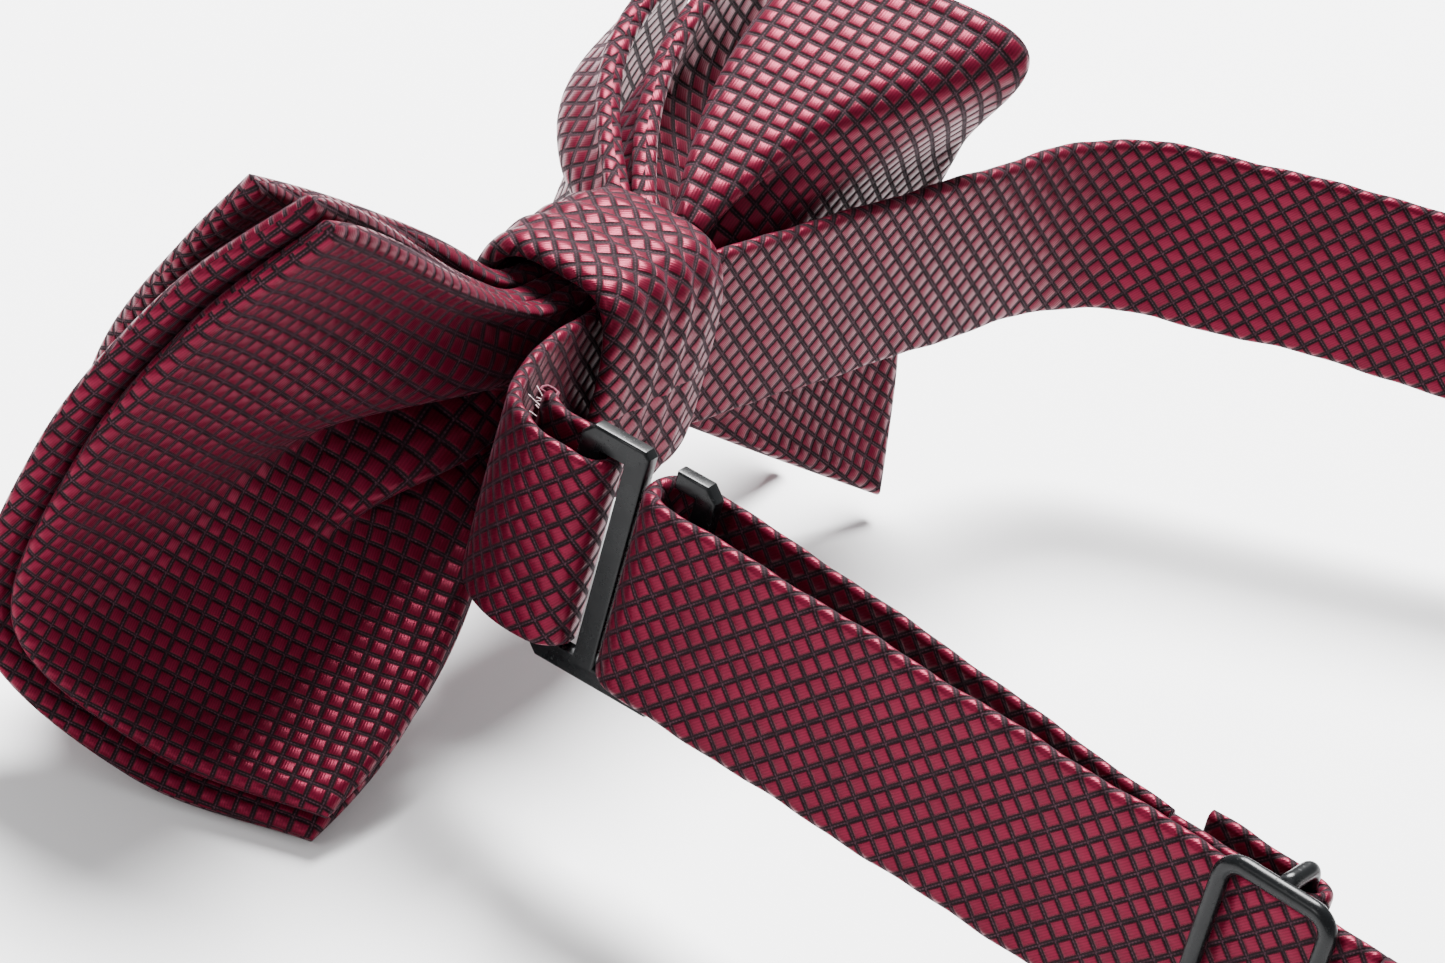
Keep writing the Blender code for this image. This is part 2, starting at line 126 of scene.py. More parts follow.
REAR_HEIGHT = BAND_WIDTH / 2 - 0.9
NECKBAND_ROUTE = (
    (-1.2, BAND_KNOT_Y, BAND_HEIGHT),
    (-11.0, 4.8, BAND_HEIGHT),
    (-32.0, 8.4, BAND_HEIGHT),
    (-54.0, 12.2, BAND_HEIGHT),
    (-67.0, 14.8, BAND_HEIGHT),
    (-75.0, 19.6, BAND_HEIGHT),
    (-81.5, 29.5, BAND_HEIGHT),
    (-90.0, 44.0, BAND_HEIGHT - 0.4),
    (-99.0, 62.0, BAND_HEIGHT - 3.0),
    (-104.5, 84.0, 18.6),
    (-102.0, 106.0, 12.9),
    (-90.0, 126.0, REAR_HEIGHT),
    (-69.0, 141.5, REAR_HEIGHT),
    (-41.0, 148.5, REAR_HEIGHT),
    (-12.0, 146.5, REAR_HEIGHT + 1.0),
    (11.0, 139.0, 15.6),
    (26.0, 128.0, 22.4),
    (33.8, 116.0, 26.4),
)

# by side (1 is +X) and layer: x, y and z of six points up the end of each leaf, from its lower
# corner to its upper one
WING_END = {
    1: {
        "rear": (
            (48.0, 13.0, 2.4), (54.8, -2.2, 3.8), (59.7, -16.0, 11.3),
            (57.8, -14.7, 28.3), (53.4, -8.8, 44.2), (48.0, -0.7, 57.0),
        ),
        "middle": (
            (48.6, 12.4, -0.2), (55.6, -3.6, 0.8), (60.7, -18.9, 9.6),
            (59.4, -17.9, 28.7), (54.5, -11.7, 45.8), (48.0, -3.1, 58.3),
        ),
        "front": (
            (44.0, -17.0, 1.2), (45.0, -21.0, 13.0), (46.0, -22.5, 24.0),
            (47.0, -20.5, 35.0), (48.5, -14.5, 47.5), (48.0, -9.3, 57.2),
        ),
    },
    -1: {
        "rear": (
            (47.0, 12.8, 1.0), (51.5, 9.0, 10.0), (54.5, 5.0, 24.0),
            (53.5, 7.5, 38.5), (50.0, 12.6, 52.8), (46.5, -10.0, 53.5),
        ),
        "middle": (
            (46.0, 2.0, 0.2), (51.0, -4.0, 11.0), (55.0, -9.0, 22.0),
            (55.0, -11.0, 33.0), (51.5, -16.0, 42.5), (47.5, -17.0, 51.0),
        ),
        "front": (
            (44.0, -16.0, 0.2), (48.5, -21.5, 12.0), (51.0, -25.0, 22.0),
            (51.0, -26.0, 32.0), (49.0, -24.5, 40.5), (46.0, -22.5, 48.0),
        ),
    },
}
# each layer's y in the knot
LAYER_KNOT_Y = {"rear": 1.0, "middle": -1.4, "front": -3.75}
# how soon the left wing's two rear layers drop at their lower edge
LOW_DROP = {"rear": 0.8, "middle": 0.6}
KNOT_END_HALF = 8.6
SIDE_NAMES = {1: "left", -1: "right"}
# a leaf's width along its end, and its length: they set how far its turned edges reach in
LEAF_WIDTHS = {1: 80.0, -1: 62.0}
LEAF_LENGTH = 58.0
# where a leaf starts and ends along X, before its end's own shape is added
LEAF_START_X = 2.4
LEAF_RUN_X = 45.6
LEAF_END_X = 48.0
# the share of a leaf that the knot holds, the rest of it, and how softly it starts to open
HELD_SHARE = 0.19
FREE_SHARE = 0.81
SOFT_START = 0.0025

WINE = (0.11, 0.0025, 0.017)
GRID_DARK = (0.0045, 0.0012, 0.0025)
GRID_THREAD = (0.10, 0.035, 0.055)
ENAMEL = (0.0025, 0.003, 0.0035)
RAW_THREAD = (0.72, 0.52, 0.55)
LINING = (0.80, 0.78, 0.74)
THREAD = (0.12, 0.010, 0.030)
TABLE_WHITE = (0.90, 0.90, 0.91)


# ---------------------------------------------------------------- materials


class Nodes:
    """Shader nodes made in one line each."""

    def __init__(self, name):
        self.material = bpy.data.materials.new(name)
        self.material.use_nodes = True
        self.tree = self.material.node_tree
        self.shader = self.tree.nodes["Principled BSDF"]

    def put(self, target, value):
        if isinstance(value, bpy.types.NodeSocket):
            self.tree.links.new(value, target)
        elif isinstance(value, tuple) and len(value) == 3 and target.type == "RGBA":
            target.default_value = (*value, 1.0)
        else:
            target.default_value = value

    def math(self, operation, a, b=0.0, c=0.0):
        node = self.tree.nodes.new("ShaderNodeMath")
        node.operation = operation
        for socket, value in zip(node.inputs, (a, b, c)):
            self.put(socket, value)
        return node.outputs[0]

    def dot(self, vector, direction):
        node = self.tree.nodes.new("ShaderNodeVectorMath")
        node.operation = "DOT_PRODUCT"
        self.put(node.inputs[0], vector)
        node.inputs[1].default_value = direction
        return node.outputs["Value"]

    def ramp(self, value, low, high, start=0.0, end=1.0):
        node = self.tree.nodes.new("ShaderNodeMapRange")
        node.interpolation_type = "SMOOTHSTEP"
        for socket, number in zip(node.inputs, (value, low, high, start, end)):
            self.put(socket, number)
        return node.outputs[0]

    def mix(self, factor, a, b):
        node = self.tree.nodes.new("ShaderNodeMix")
        node.data_type = "RGBA"
        for index, value in ((0, factor), (6, a), (7, b)):
            self.put(node.inputs[index], value)
        return node.outputs[2]

    def noise(self, vector, scale, detail=2.0):
        node = self.tree.nodes.new("ShaderNodeTexNoise")
        self.put(node.inputs["Vector"], vector)
        node.inputs["Scale"].default_value = scale
        node.inputs["Detail"].default_value = detail
        return node.outputs[0]

    def uv(self):
        node = self.tree.nodes.new("ShaderNodeUVMap")
        node.uv_map = "cloth"
        return node.outputs[0]

    def place(self):
        return self.tree.nodes.new("ShaderNodeTexCoord").outputs["Object"]

    def bump(self, height, strength, distance):
        node = self.tree.nodes.new("ShaderNodeBump")
        node.inputs["Strength"].default_value = strength
        node.inputs["Distance"].default_value = distance
        self.put(node.inputs["Height"], height)
        return node.outputs[0]

    def finish(self, **inputs):
        for name, value in inputs.items():
            self.put(self.shader.inputs[name.replace("_", " ")], value)
        return self.material


def jacquard(name):
    """Raised satin squares set on the bias, with dark furrows between them and fine grey
    threads that run along the furrows. The UV map is the flat cloth, in units of 100 mm."""
    n = Nodes(name)
    uv = n.uv()
    k = 100 / (PITCH * sqrt(2))
    a = n.math("FRACT", n.dot(uv, (k, k, 0.0)))
    b = n.math("FRACT", n.dot(uv, (k, -k, 0.0)))
    from_a = n.math("MINIMUM", a, n.math("SUBTRACT", 1.0, a))
    from_b = n.math("MINIMUM", b, n.math("SUBTRACT", 1.0, b))
    edge = n.math("MINIMUM", from_a, from_b)
    weave = n.noise(uv, 900.0, 1.0)
    ragged = n.math("ADD", edge, n.math("MULTIPLY", n.math("SUBTRACT", weave, 0.5), 0.10))
    square = n.ramp(ragged, 0.085, 0.20)

    threads = n.math("SINE", n.math("MULTIPLY", n.dot(uv, (k, -k, 0.0)), 2 * pi * 7))
    floats = n.math("MULTIPLY_ADD", threads, 0.5, 0.5)
    twist_a = n.math("SINE", n.math("MULTIPLY", n.dot(uv, (k, -k, 0.0)), 2 * pi * 5))
    twist_b = n.math("SINE", n.math("MULTIPLY", n.dot(uv, (k, k, 0.0)), 2 * pi * 5))
    line_a = n.math(
        "MULTIPLY", n.ramp(from_a, 0.055, 0.02), n.math("MULTIPLY_ADD", twist_a, 0.35, 0.6)
    )
    line_b = n.math(
        "MULTIPLY", n.ramp(from_b, 0.055, 0.02), n.math("MULTIPLY_ADD", twist_b, 0.35, 0.6)
    )
    patchy = n.ramp(n.noise(uv, 55.0, 2.0), 0.35, 0.65, 0.35, 1.0)
    line = n.math("MULTIPLY", n.math("MAXIMUM", line_a, line_b), patchy)

    shade = n.ramp(n.noise(uv, 14.0, 3.0), 0.3, 0.7, 0.86, 1.08)
    wine = n.mix(
        n.math("MULTIPLY", shade, n.math("MULTIPLY_ADD", floats, 0.25, 0.75)),
        (0.0, 0.0, 0.0), WINE,
    )
    colour = n.mix(square, GRID_DARK, wine)
    colour = n.mix(n.math("MULTIPLY", line, 0.55), colour, GRID_THREAD)

    puff_a = n.math("SINE", n.math("MULTIPLY", a, pi))
    puff_b = n.math("SINE", n.math("MULTIPLY", b, pi))
    puff = n.math("POWER", n.math("MULTIPLY", puff_a, puff_b), 0.6)
    height = n.math("MULTIPLY_ADD", square, 0.25, puff)
    height = n.math("MULTIPLY_ADD", floats, 0.05, height)
    height = n.math("MULTIPLY_ADD", line, 0.22, height)
    height = n.math("MULTIPLY_ADD", weave, 0.05, height)
    return n.finish(
        Base_Color=colour,
        Metallic=n.math("MULTIPLY", square, 0.5),
        Roughness=n.ramp(square, 0.0, 1.0, 0.8, 0.38),
        Specular_IOR_Level=0.12,
        Sheen_Weight=0.05,
        Sheen_Roughness=0.4,
        Sheen_Tint=(0.9, 0.45, 0.6),
        Normal=n.bump(height, 0.9, 0.00022),
    )


def enamel():
    """Glossy black enamel on metal, a little dusty, with a painted highlight of lighter grey along its
    sharp edges.
    """
    n = Nodes("black_enamel")
    place = n.place()
    geometry = n.tree.nodes.new("ShaderNodeNewGeometry").outputs["Pointiness"]
    # painted highlight: lighter grey on the convex edges (high pointiness), broken into patches by noise
    edge_highlight = n.math(
        "MULTIPLY", n.ramp(geometry, 0.54, 0.62), n.ramp(n.noise(place, 900.0, 3.0), 0.45, 0.7)
    )
    dust = n.ramp(n.noise(place, 3500.0, 2.0), 0.62, 0.72, 0.0, 0.35)
    # the painted edge highlight is mixed in first, then the pale dust specks
    colour = n.mix(edge_highlight, ENAMEL, (0.05, 0.05, 0.055))
    colour = n.mix(n.math("MULTIPLY", dust, 0.15), colour, (0.12, 0.12, 0.12))
    return n.finish(
        Base_Color=colour,
        Roughness=n.math("ADD", n.ramp(n.noise(place, 400.0, 4.0), 0.3, 0.7, 0.22, 0.34), dust),
        Specular_IOR_Level=0.18,
        Normal=n.bump(n.noise(place, 700.0, 3.0), 0.12, 0.0001),
    )


def thread_look(name, colour):
    """Twisted sewing thread."""
    n = Nodes(name)
    place = n.place()
    twist = n.math("SINE", n.math("MULTIPLY", n.dot(place, (1.0, 1.0, 0.8)), 22000.0))
    return n.finish(
        Base_Color=n.mix(n.ramp(n.noise(place, 2500.0), 0.3, 0.7), tuple(c * 0.7 for c in colour), colour),
        Roughness=0.55,
        Sheen_Weight=0.03,
        Specular_IOR_Level=0.2,
        Normal=n.bump(twist, 0.4, 0.00004),
    )


def canvas():
    """Plain woven interlining, undyed."""
    n = Nodes("interlining_canvas")
    place = n.place()
    warp = n.math("SINE", n.math("MULTIPLY", n.dot(place, (1.0, 0.3, 0.0)), 9000.0))
    weft = n.math("SINE", n.math("MULTIPLY", n.dot(place, (0.0, 0.3, 1.0)), 9000.0))
    weave = n.math("MULTIPLY", warp, weft)
    tone = n.math("MULTIPLY_ADD", weave, 0.2, 0.6)
    return n.finish(
        Base_Color=n.mix(tone, tuple(c * 0.6 for c in LINING), LINING),
        Roughness=0.95,
        Normal=n.bump(weave, 0.5, 0.0001),
    )


CLOTH = jacquard("wine_jacquard")
ENAMEL_LOOK = enamel()
THREAD_LOOK = thread_look("wine_thread", THREAD)
RAW_LOOK = thread_look("raw_thread_ends", RAW_THREAD)
CANVAS_LOOK = canvas()


# ---------------------------------------------------------------- mesh building


def object_from(name, points, faces, look, uvs=None):
    """An object from points in mm and faces; uvs, if given, is one (u, v) a face corner."""
    world = np.asarray(points, float).reshape(-1, 3) * MM + np.array(ORIGIN)
    mesh = bpy.data.meshes.new(name)
    mesh.from_pydata(world.tolist(), [], faces)
    if uvs is not None:
        layer = mesh.uv_layers.new(name="cloth")
        layer.data.foreach_set("uv", np.asarray(uvs, np.float32).reshape(-1))
    mesh.materials.append(look)
    mesh.shade_smooth()
    piece = bpy.data.objects.new(name, mesh)
    bpy.context.scene.collection.objects.link(piece)
    return piece


def skin(name, rings, look, start=0.0, closed=False):
    """A closed surface over rings of points, rings[i][j] in mm. Each ring goes up one face of a
    flat strip and down the other, so point j faces point -1 - j across it, and the ends are
    closed by stitching those pairs together. The UV map is the cloth laid flat."""
    rings = np.asarray(rings, float)
    count, around = rings.shape[:2]
    middle = rings[:, around // 4]
    run = np.concatenate([[0], np.cumsum(np.linalg.norm(np.diff(middle, axis=0), axis=1))])
    if closed:
        run = np.append(run, run[-1] + np.linalg.norm(middle[0] - middle[-1]))
    looped = np.concatenate([rings, rings[:, :1]], axis=1)
    across = np.cumsum(np.linalg.norm(np.diff(looped, axis=1), axis=2), axis=1)
    across = np.concatenate([np.zeros((count, 1)), across], axis=1)
    across -= across[:, around // 4 : around // 4 + 1]
    if closed:
        across = np.concatenate([across, across[:1]])
    faces, uvs = [], []

    def uv(i, j):
        uvs.append(((run[i] + start) / 100, across[i, j] / 100))

    for i in range(count if closed else count - 1):
        after = (i + 1) % count
        for j in range(around):
            beside = (j + 1) % around
            faces.append(
                (i * around + j, i * around + beside, after * around + beside, after * around + j)
            )
            for corner in ((i, j), (i, j + 1), (i + 1, j + 1), (i + 1, j)):
                uv(*corner)
    if not closed:
        for i, turned in ((0, False), (count - 1, True)):
            for j in range(around // 2 - 1):
                quad = [j, around - 1 - j, around - 2 - j, j + 1]
                if turned:
                    quad.reverse()
                faces.append(tuple(i * around + q for q in quad))
                for q in quad:
                    uv(i, q)
    piece = object_from(name, rings, faces, look, uvs)
    outward(piece)
    return piece


def outward(piece):
    """Turn every face out."""
    shape = bmesh.new()
    shape.from_mesh(piece.data)
    bmesh.ops.recalc_face_normals(shape, faces=shape.faces)
    shape.to_mesh(piece.data)
    shape.free()


def edge_steps(width, radius, inner, rounding=6):
    """Distances across a strip, close together where its edges round over."""
    curve = [radius * (1 - cos(pi / 2 * i / rounding)) for i in range(rounding)]
    flat = np.linspace(radius, width - radius, inner)
    return np.array(curve + list(flat) + [width - c for c in reversed(curve)])


def rounded(distance, radius, thickness):
    """Thickness of a strip at this distance from its folded edge."""
    d = np.clip(distance / radius, 0.0, 1.0)
    return thickness * np.sqrt(np.clip(1 - (1 - d) ** 2, 0.0004, 1.0))


def spline(points, step):
    """Points about step apart on a smooth curve through the given ones."""
    points = [np.array(p, float) for p in points]
    ends = [2 * points[0] - points[1], *points, 2 * points[-1] - points[-2]]
    path = [points[0]]
    for a, b, c, d in zip(ends, ends[1:], ends[2:], ends[3:]):
        count = max(1, round(np.linalg.norm(c - b) / step))
        for i in range(1, count + 1):
            t = i / count
            path.append(
                0.5 * (2 * b + (c - a) * t + (2 * a - 5 * b + 4 * c - d) * t**2
                       + (3 * b - a - 3 * c + d) * t**3)
            )
    return np.array(path)


def arc(centre, radius, start, end, count):
    """Points on an arc in plan at the band's height, its angles in degrees."""
    turns = np.radians(np.linspace(start, end, count + 1))
    return np.stack(
        [centre[0] + radius * np.cos(turns), centre[1] + radius * np.sin(turns),
         np.full(count + 1, BAND_HEIGHT)], 1
    )


def lengths(path):
    """The distance along a path to each of its points."""
    return np.concatenate([[0], np.cumsum(np.linalg.norm(np.diff(path, axis=0), axis=1))])


def ribbon(name, path, look, width=BAND_WIDTH, thick=BAND_THICK, start=0.0, wave=0.10, inner=22):
    """A folded cloth strip on edge along the path, its faces a little crowned and its folded
    edges soft and slightly wavy."""
    path = np.asarray(path, float)
    run = lengths(path)
    tangent = np.gradient(path, axis=0)
    normal = np.stack([tangent[:, 1], -tangent[:, 0], np.zeros(len(path))], 1)
    normal /= np.linalg.norm(normal, axis=1)[:, None]
    steps = edge_steps(width, thick * 0.62, inner)
    half = rounded(np.minimum(steps, width - steps), thick * 0.62, thick) / 2
    seat = (steps / width - 0.5) * 2
    half = half * (1 + 0.10 * seat**8 - 0.06 * (1 - seat**2))
    rings = []
    for i, place in enumerate(path):
        u = run[i] + start
        top = wave * (sin(u * 0.41 + 1.3) + 0.6 * sin(u * 1.07))
        low = wave * (sin(u * 0.37 + 4.0) + 0.6 * sin(u * 0.93 + 2.0))
        rise = steps - width / 2 + np.where(seat > 0, top * seat**2, low * seat**2)
        bow = wave * 0.8 * sin(u * 0.16 + 0.5) * (seat**2 - 0.4)
        bow = bow + wave * 0.5 * np.sin(u * 0.33 + seat * 2.2)
        line = place + rise[:, None] * np.array([0, 0, 1.0])
        front = line + normal[i] * (bow + half)[:, None]
        back = line + normal[i] * (bow - half)[:, None]
        rings.append(np.concatenate([front, back[::-1]]))
    return skin(name, rings, look, start)


def tube(name, path, radius, look, closed=False, sides=12):
    """A round wire or thread along the path."""
    path = np.asarray(path, float)
    count = len(path)
    if closed:
        tangent = np.roll(path, -1, axis=0) - np.roll(path, 1, axis=0)
    else:
        tangent = np.gradient(path, axis=0)
    tangent /= np.linalg.norm(tangent, axis=1)[:, None]
    side = np.cross(tangent[0], [0.31, 0.17, 0.93])
    rings = []
    for i in range(count):
        side = side - tangent[i] * np.dot(side, tangent[i])
        side /= np.linalg.norm(side)
        other = np.cross(tangent[i], side)
        turns = 2 * pi * np.arange(sides) / sides
        rings.append(
            path[i] + radius * (np.cos(turns)[:, None] * side + np.sin(turns)[:, None] * other)
        )
    points = np.array(rings).reshape(-1, 3)
    faces = []
    for i in range(count if closed else count - 1):
        after = (i + 1) % count
        for j in range(sides):
            beside = (j + 1) % sides
            faces.append((i * sides + j, i * sides + beside, after * sides + beside, after * sides + j))
    if not closed:
        faces.append(tuple(range(sides)))
        faces.append(tuple((count - 1) * sides + j for j in reversed(range(sides))))
    piece = object_from(name, points, faces, look)
    outward(piece)
    return piece


def join(pieces, name):
    """Several pieces made one object."""
    shape = bmesh.new()
    for piece in pieces:
        shape.from_mesh(piece.data)
    mesh = pieces[0].data
    for piece in pieces[1:]:
        bpy.data.objects.remove(piece)
    shape.to_mesh(mesh)
    shape.free()
    pieces[0].name = name
    return pieces[0]


# ---------------------------------------------------------------- the bow


def smooth(t):
    return t * t * (3 - 2 * t)


def along_end(points, t):
    """Points of the smooth curve through evenly spaced ones."""
    points = np.array(points)
    last = len(points) - 1
    padded = np.concatenate([[2 * points[0] - points[1]], points, [2 * points[-1] - points[-2]]])
    first = np.clip((t * last).astype(int), 0, last - 1)
    q = (t * last - first)[..., None]
    a, b, c, d = (padded[first + i] for i in range(4))
    return 0.5 * (
        2 * b + (c - a) * q + (2 * a - 5 * b + 4 * c - d) * q**2 + (3 * b - a - 3 * c + d) * q**3
    )


def low_weight(v):
    """1 at the leaf's lower edge, falling to 0 three tenths of the way up it."""
    return smooth(np.clip((-v - 0.4) / 0.6, 0.0, 1.0))


def sweep(side, layer, flare, v):
    """How much of its way to the end's y a leaf has gone at this flare."""
    late = flare**1.3
    if layer == "front" or (side < 0 and layer == "middle"):
        return 1 - (1 - np.minimum(flare, 1.0)) ** 2.5
    early = 1 - (1 - np.minimum(flare, 1.0)) ** 2.3
    if side < 0:
        return late + (early - late) * smooth(np.clip((v - 0.45) / 0.55, 0.0, 1.0))
    return late + (early - late) * low_weight(v)


def opening(side, layer, flare, v):
    """How much of its way to the end's height a leaf has gone at this flare."""
    straight = smooth(np.minimum(flare, 1.0)) * 0.4 + flare * 0.6
    if layer == "front" or side < 0:
        return flare**0.85
    return straight + (flare ** LOW_DROP[layer] - straight) * low_weight(v)


# the folds of each wing: where across the leaf (v from -1 to 1) they leave the knot and reach
# its end, how wide and how deep they are, and how far out they fade
FOLDS = {
    1: (
        (0.05, -0.02, 0.16, -5.2, 0.95), (-0.5, -0.30, 0.15, -3.6, 0.7),
        (0.42, 0.36, 0.22, 1.7, 0.9), (-0.28, -0.30, 0.14, 1.8, 0.75),
        (0.8, 0.75, 0.15, -1.0, 0.5),
    ),
    -1: (
        (0.1, 0.15, 0.22, 1.6, 0.9), (0.55, 0.62, 0.18, -3.2, 0.95),
        (-0.35, -0.3, 0.2, -2.0, 0.7), (-0.75, -0.6, 0.16, 1.3, 0.8),
    ),
}


def folds(side, layer, flare, v):
    """How far the cloth stands back from the plain surface where it is gathered."""
    total = 0.02 * flare * np.sin(9 * v + 3 * flare)
    scale = 0.9 if layer == "front" else 1.0
    for near, far, width, depth, reach in FOLDS[side]:
        along = near + (far - near) * flare
        spread = width * (0.75 + 0.7 * flare)
        rise = smooth(np.clip(flare / 0.22, 0.0, 1.0))
        fade = 1 - smooth(np.clip((flare - 0.3 * reach) / (0.7 * reach), 0.0, 1.0))
        total = total + scale * depth * rise * fade * np.exp(-(((v - along) / spread) ** 2))
    return total


def leaf_middle(side, layer, s, t):
    """The leaf's middle surface at grids s (knot to end) and t (lower to upper edge)."""
    v = 2 * t - 1
    past_knot = s - HELD_SHARE
    flare = (past_knot + np.sqrt(past_knot**2 + SOFT_START)) / 2 / FREE_SHARE
    end = along_end(WING_END[side][layer], t)
    knot_y = LAYER_KNOT_Y[layer]
    knot_z = KNOT_CENTRE[1] + 0.4 + v * KNOT_END_HALF
    x = LEAF_START_X + LEAF_RUN_X * s + (end[..., 0] - LEAF_END_X) * flare**2
    y = knot_y + (end[..., 1] - knot_y) * sweep(side, layer, flare, v)
    y = y + folds(side, layer, flare, v)
    z = knot_z + (end[..., 2] - knot_z) * opening(side, layer, flare, v)
    return np.stack([side * x, y, z], -1)


def leaf_rings(side, layer, thickness, margin=0.0, end=1.0, columns=120, inner=90):
    """Rings round the leaf, its edges rounded where the cloth was turned."""
    width = LEAF_WIDTHS[side]
    radius = 0.6 * thickness
    t_steps = edge_steps(width, radius, inner) / width
    t_steps = margin + (1 - 2 * margin) * t_steps
    turned = radius / LEAF_LENGTH
    s_steps = np.array(list(np.linspace(0.0, 1 - turned, columns)) + [
        1 - turned * (1 - sin(pi / 2 * i / 6)) for i in range(1, 7)
    ])
    s_grid, t_grid = np.meshgrid(s_steps * end, t_steps, indexing="ij")
    middle = leaf_middle(side, layer, s_grid, t_grid)
    normal = np.cross(np.gradient(middle, axis=0), np.gradient(middle, axis=1))
    normal /= np.linalg.norm(normal, axis=2)[..., None]
    to_edge = np.minimum(t_grid - margin, 1 - margin - t_grid) * width
    to_end = (1 - s_steps)[:, None] * LEAF_LENGTH * np.ones_like(to_edge)
    puff = 1 + 0.22 * np.exp(-(((np.minimum(to_edge, to_end) - 2.2) / 1.3) ** 2))
    depth = rounded(np.minimum(to_edge, to_end), radius, thickness) * puff
    front = middle + normal * depth[..., None] / 2
    back = middle - normal * depth[..., None] / 2
    return np.concatenate([front, back[:, ::-1]], axis=1)


def lay_flat(piece, rings):
    """Give a leaf the UV map of its two faces unrolled, so that the squares keep their shape."""
    count, around = rings.shape[:2]
    mesh = piece.data
    edges = np.zeros(len(mesh.edges) * 2, int)
    mesh.edges.foreach_get("vertices", edges)
    ring, place = np.divmod(edges.reshape(-1, 2), around)
    turned = (place == 0).all(axis=1) | (place == around // 2).all(axis=1)
    rim = (ring == 0).all(axis=1) | (ring == count - 1).all(axis=1)
    mesh.edges.foreach_set("use_seam", turned | rim)
    bpy.context.view_layer.objects.active = piece
    piece.select_set(True)
    bpy.ops.object.mode_set(mode="EDIT")
    bpy.ops.mesh.select_all(action="SELECT")
    bpy.ops.uv.unwrap(method="CONFORMAL", margin=0.01)
    bpy.ops.object.mode_set(mode="OBJECT")
    piece.select_set(False)

    uvs = np.zeros(len(mesh.loops) * 2, np.float32)
    mesh.uv_layers["cloth"].data.foreach_get("uv", uvs)
    uvs = uvs.reshape(-1, 2)
    corners = np.zeros(len(mesh.loops), int)
    mesh.loops.foreach_get("vertex_index", corners)
    ring, place = np.divmod(corners, around)
    sides = len(corners) - 2 * 4 * (around // 2 - 1)
    face_place = place[:sides].reshape(-1, 4)
    ahead = (face_place.max(axis=1) <= around // 2) & (face_place.max(axis=1) > 0)
    back = np.repeat(~ahead, 4)
    for group, column in ((~back, around // 4), (back, around - 1 - around // 4)):
        chosen = np.nonzero(group)[0]
        flat = np.zeros((count, 2))
        on_line = chosen[place[chosen] == column]
        flat[ring[on_line]] = uvs[on_line]
        run = lengths(rings[:, column])
        outward_line = flat[-1] - flat[0]
        scale = run[-1] / lengths(flat)[-1] / 100
        outward_line = outward_line / np.linalg.norm(outward_line)
        turn = np.array([[outward_line[0], -outward_line[1]], [outward_line[1], outward_line[0]]])
        uvs[chosen] = (uvs[chosen] - flat[0]) @ turn * scale
    mesh.uv_layers["cloth"].data.foreach_set("uv", uvs.reshape(-1))


def make_leaf(side, layer):
    name = f"{layer}_leaf_{SIDE_NAMES[side]}"
    rings = leaf_rings(side, layer, LEAF_THICK)
    casing = skin(f"{name}_cloth", rings, CLOTH)
    lay_flat(casing, rings)
    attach(casing, "bow")
    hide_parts(name)
    lining = skin(
        f"{name}_canvas", leaf_rings(side, layer, 0.5, 0.05, 0.96, 50, 40), CANVAS_LOOK
    )
    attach(lining, "bow")
    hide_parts(name + "_interlining")


def knot_section(angle, inset):
    """A point of the knot's rounded-square section, this far inside its outer face."""
    power = 2 / KNOT_POWER
    c, s = cos(angle), sin(angle)
    y = abs(c) ** power * (1 if c >= 0 else -1) * (KNOT_HALF[0] - inset)
    z = abs(s) ** power * (1 if s >= 0 else -1) * (KNOT_HALF[1] - inset)
    return np.array([0.0, KNOT_CENTRE[0] + y, KNOT_CENTRE[1] + z])


def make_knot():
    """The wrap: a soft barrel of cloth whose side edges turn in, with shallow drag lines."""
    turned = WRAP_THICK * 0.6
    steps = edge_steps(WRAP_WIDTH, turned, 26)
    half = rounded(np.minimum(steps, WRAP_WIDTH - steps), turned, WRAP_THICK) / 2
    seat = (steps / WRAP_WIDTH - 0.5) * 2
    rings = []
    count = 150
    for i in range(count):
        angle = 2 * pi * i / count
        ring = []
        for off in (1, -1):
            line = []
            for k, x in enumerate(steps - WRAP_WIDTH / 2):
                inset = 0.75 + 0.8 * seat[k] ** 4 - off * half[k]
                inset = inset + 0.22 * sin(1.5 * x + 1.2 * sin(2 * angle)) * (1 - seat[k] ** 2)
                point = knot_section(angle, inset)
                point[0] = x * (1 - 0.05 * sin(angle) ** 2) + 0.25 * sin(3 * angle)
                line.append(point)
            ring.append(line if off == 1 else line[::-1])
        rings.append(np.array(ring[0] + ring[1]))
    wrap = skin("knot_wrap_cloth", rings, CLOTH, closed=True)
    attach(wrap, "bow")
    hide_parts("knot_wrap")


# ---------------------------------------------------------------- band, tab and strap


def strap_frame(distance):
    """A place on the strap's outer layer, and the directions along and across it."""
    lean = radians(STRAP_LEAN)
    along = np.array([cos(lean), sin(lean), 0.0])
    across = np.array([sin(lean), -cos(lean), 0.0])
    centre = np.array([CLASP_X, STRAP_LOOP_Y, BAND_HEIGHT])
    return centre + across * STRAP_LOOP_R + along * distance, along, across


def dress(piece, body, slot, *nodes):
    """Tell the frame which body a piece rides, if one is given, and hide the CAD nodes it stands for. The
    slot, its material's name, is not used.
    """
    if body:
        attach(piece, body)
    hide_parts(*nodes)


def make_neckband():
    end, along, _ = strap_frame(STRAP_FRONT_LENGTH + 0.08)
    path = spline([*NECKBAND_ROUTE, tuple(end + along * 3.0), tuple(end)], 1.3)
    band = ribbon("neckband_cloth", path, CLOTH)
    dress(band, None, "wine_cloth", "neckband")
    lining = ribbon("neckband_canvas", path[1:-1], CANVAS_LOOK, BAND_WIDTH - 2.0, 0.35, inner=6)
    dress(lining, None, "interlining", "neckband_interlining")
    for piece in (band, lining):
        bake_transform(piece)


